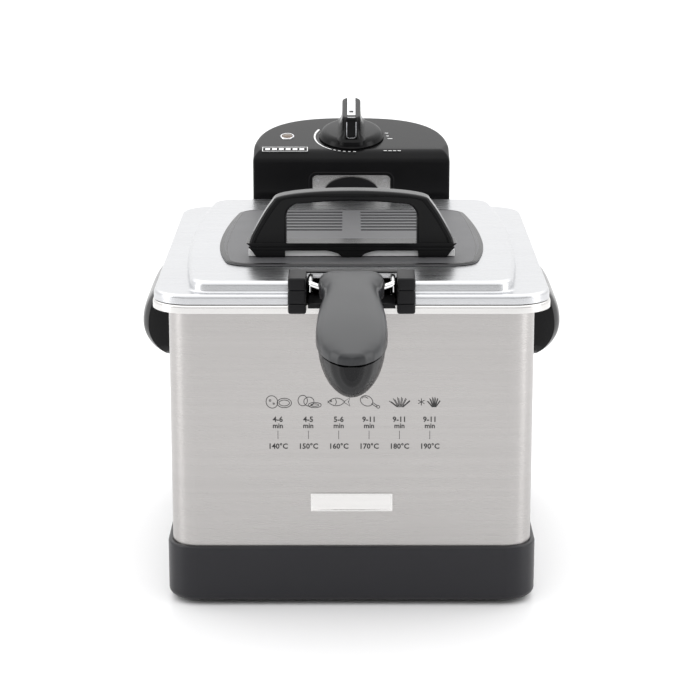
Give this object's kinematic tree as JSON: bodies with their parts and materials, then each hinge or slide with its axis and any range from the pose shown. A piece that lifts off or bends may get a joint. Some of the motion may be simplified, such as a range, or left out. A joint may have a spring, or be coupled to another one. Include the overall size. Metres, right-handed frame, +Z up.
{
  "type": "deep fryer",
  "caption": "Steel deep fryer with lift-off lid, folding basket grip, lift-out oil tank and hang-on control head with a rotary thermostat.",
  "frame": {"origin": "middle of the footprint, on the surface that the feet stand on", "axes": "+Z up, -Y towards the front where the basket's grip points, +X to the right seen from the front"},
  "size_m": [0.2746, 0.4884, 0.2745],
  "materials": {
    "brushed_steel": "fine horizontal brushed grain, satin",
    "polished_steel": "polished wire and screws",
    "tank_steel": "drawn steel, bright satin",
    "gloss_black": "smooth moulded gloss",
    "satin_black": "fine moulded texture",
    "soft_grip": "satin grey-black",
    "rubber_black": "dull rubber",
    "filter_grey": "fibre mat",
    "bakelite": "dull moulding",
    "copper": "drawn copper tube",
    "element_sheath": "dark heat-tinted metal sheath",
    "silver_inlay": "satin silver",
    "lamp_amber": "tinted clear lens",
    "button_red": "moulded red"
  },
  "bodies": {
    "housing": {"base_tray": "satin_black", "foot_front_left": "rubber_black", "foot_front_right": "rubber_black", "foot_rear_left": "rubber_black", "foot_rear_right": "rubber_black", "housing_shell": "brushed_steel", "side_handle_left": "gloss_black", "side_handle_right": "gloss_black", "side_handle_screw_left_1": "polished_steel", "side_handle_screw_left_2": "polished_steel", "side_handle_screw_right_1": "polished_steel", "side_handle_screw_right_2": "polished_steel", "guide_bracket": "satin_black", "guide_bracket_screw_1": "polished_steel", "guide_bracket_screw_2": "polished_steel", "guide_bracket_screw_3": "polished_steel", "guide_bracket_screw_4": "polished_steel", "interlock_pin": "satin_black"},
    "oil_tank": {"oil_tank": "tank_steel", "rim_guard": "satin_black"},
    "control_head": {"head_casing": "gloss_black", "head_lower_cover": "satin_black", "guide_tongue": "satin_black", "tongue_screw_1": "polished_steel", "tongue_screw_2": "polished_steel", "element_bracket": "tank_steel", "heating_element": "element_sheath", "thermostat_bulb": "copper", "limiter_bulb": "copper", "thermostat_body": "bakelite", "thermal_cutout": "bakelite", "terminal_block": "bakelite", "interlock_switch": "bakelite", "cord_gland": "rubber_black", "indicator_lens": "lamp_amber"},
    "basket": {"basket_mesh": "polished_steel", "basket_rim_wire": "polished_steel", "basket_hanger_plate": "polished_steel", "basket_arm_left": "polished_steel", "basket_arm_right": "polished_steel"},
    "lid": {"lid_panel": "brushed_steel", "vent_plate": "gloss_black", "filter_pad": "filter_grey", "filter_cover": "tank_steel", "lid_handle": "gloss_black", "handle_strip": "polished_steel", "lid_handle_screw_1": "polished_steel", "lid_handle_screw_2": "polished_steel", "notch_trim": "satin_black"},
    "basket_grip": {"grip_upper": "soft_grip", "grip_lower": "gloss_black"},
    "thermostat_knob": {"thermostat_knob": "gloss_black", "knob_inlay": "silver_inlay", "thermostat_shaft": "tank_steel"},
    "reset_button": {"reset_button": "button_red"}
  },
  "joints": [
    {"name": "tank_lift", "type": "slide", "parent": "housing", "child": "oil_tank", "axis": [0, 0, 1], "range_m": [0, 0.25]},
    {"name": "head_lift", "type": "slide", "parent": "oil_tank", "child": "control_head", "axis": [0, 0, 1], "range_m": [0, 0.2]},
    {"name": "basket_lift", "type": "slide", "parent": "control_head", "child": "basket", "axis": [0, 0, 1], "range_m": [0, 0.18]},
    {"name": "lid_lift", "type": "slide", "parent": "basket", "child": "lid", "axis": [0, 0, 1], "range_m": [0, 0.08]},
    {"name": "grip_fold", "type": "hinge", "parent": "basket", "child": "basket_grip", "pos_m": [0, -0.13675, 0.207], "axis": [-1, 0, 0], "range_deg": [0, 100]},
    {"name": "thermostat_turn", "type": "hinge", "parent": "control_head", "child": "thermostat_knob", "pos_m": [0, 0.20075, 0.2472], "axis": [0, 0.2588, -0.9659], "range_deg": [0, 240]},
    {"name": "reset_press", "type": "slide", "parent": "control_head", "child": "reset_button", "axis": [0, -1, 0], "range_m": [0, 0.002], "stiffness_N_per_m": 400}
  ]
}
